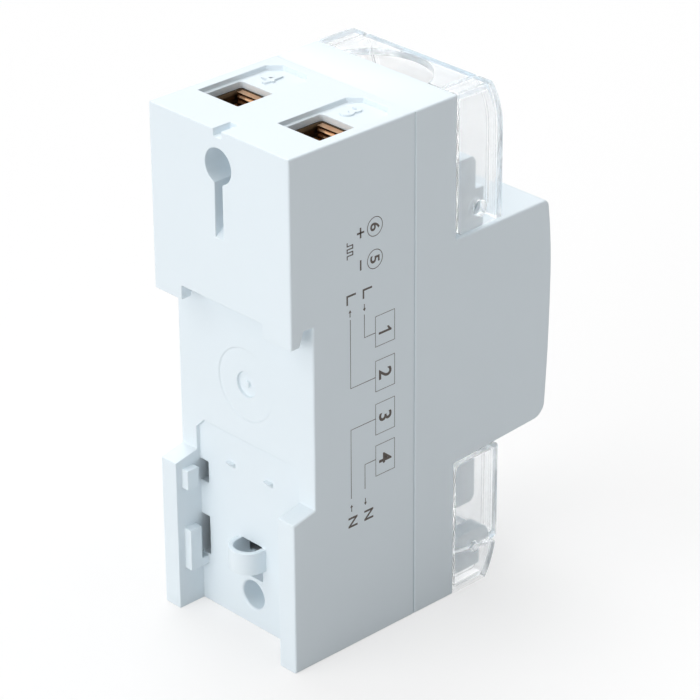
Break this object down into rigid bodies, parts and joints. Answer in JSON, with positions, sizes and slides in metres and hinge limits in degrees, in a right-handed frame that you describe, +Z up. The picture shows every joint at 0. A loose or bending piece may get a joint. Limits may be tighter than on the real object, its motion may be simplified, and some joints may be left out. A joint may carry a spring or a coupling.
{
  "type": "smart energy meter",
  "caption": "Slim DIN-rail electricity meter with a raised display part, clear terminal covers and cable entries at both ends.",
  "frame": {"origin": "middle of the bounding box in X and Y, on the bottom face that the meter stands on", "axes": "+X width, to the right seen from the display; -Y towards the display; +Y towards the rail seat; +Z up, towards the terminals 3 and 4"},
  "size_m": [0.0354, 0.0644, 0.1],
  "materials": {
    "housing": "fine satin, moulded",
    "clear_cover": "clear, polished",
    "copper": "bare copper",
    "brass": "stamped",
    "steel": "zinc plated",
    "shunt_alloy": "dull resistance alloy",
    "board": "solder mask",
    "capacitor_box": "moulded box",
    "capacitor_can": "sleeved can",
    "varistor": "dipped lacquer",
    "terminal_plastic": "moulded",
    "chip": "epoxy",
    "diffuser": "milky",
    "contact_rubber": "silicone",
    "display_glass": "polarised",
    "window": "clear, polished"
  },
  "bodies": {
    "root": {"rear_housing": "housing", "front_housing": "housing", "upper_terminal_cover": "clear_cover", "lower_terminal_cover": "clear_cover", "lower_cover_flap": "clear_cover", "neutral_busbar": "copper", "line_blade_1": "copper", "line_blade_2": "copper", "terminal_cage_1": "brass", "terminal_cage_2": "brass", "terminal_cage_3": "brass", "terminal_cage_4": "brass", "board_header": "brass", "terminal_screw_1": "steel", "terminal_screw_2": "steel", "terminal_screw_3": "steel", "terminal_screw_4": "steel", "pulse_terminal_screws": "steel", "shunt_resistor": "shunt_alloy", "power_circuit_board": "board", "main_circuit_board": "board", "mains_capacitor": "capacitor_box", "smoothing_capacitor": "capacitor_can", "surge_varistor": "varistor", "pulse_terminal_block": "terminal_plastic", "metering_chip": "chip", "lcd_light_guide": "diffuser", "pulse_led": "diffuser", "lcd_connectors": "contact_rubber", "lcd_glass": "display_glass", "display_window": "window", "light_pipe": "window"}
  },
  "joints": []
}
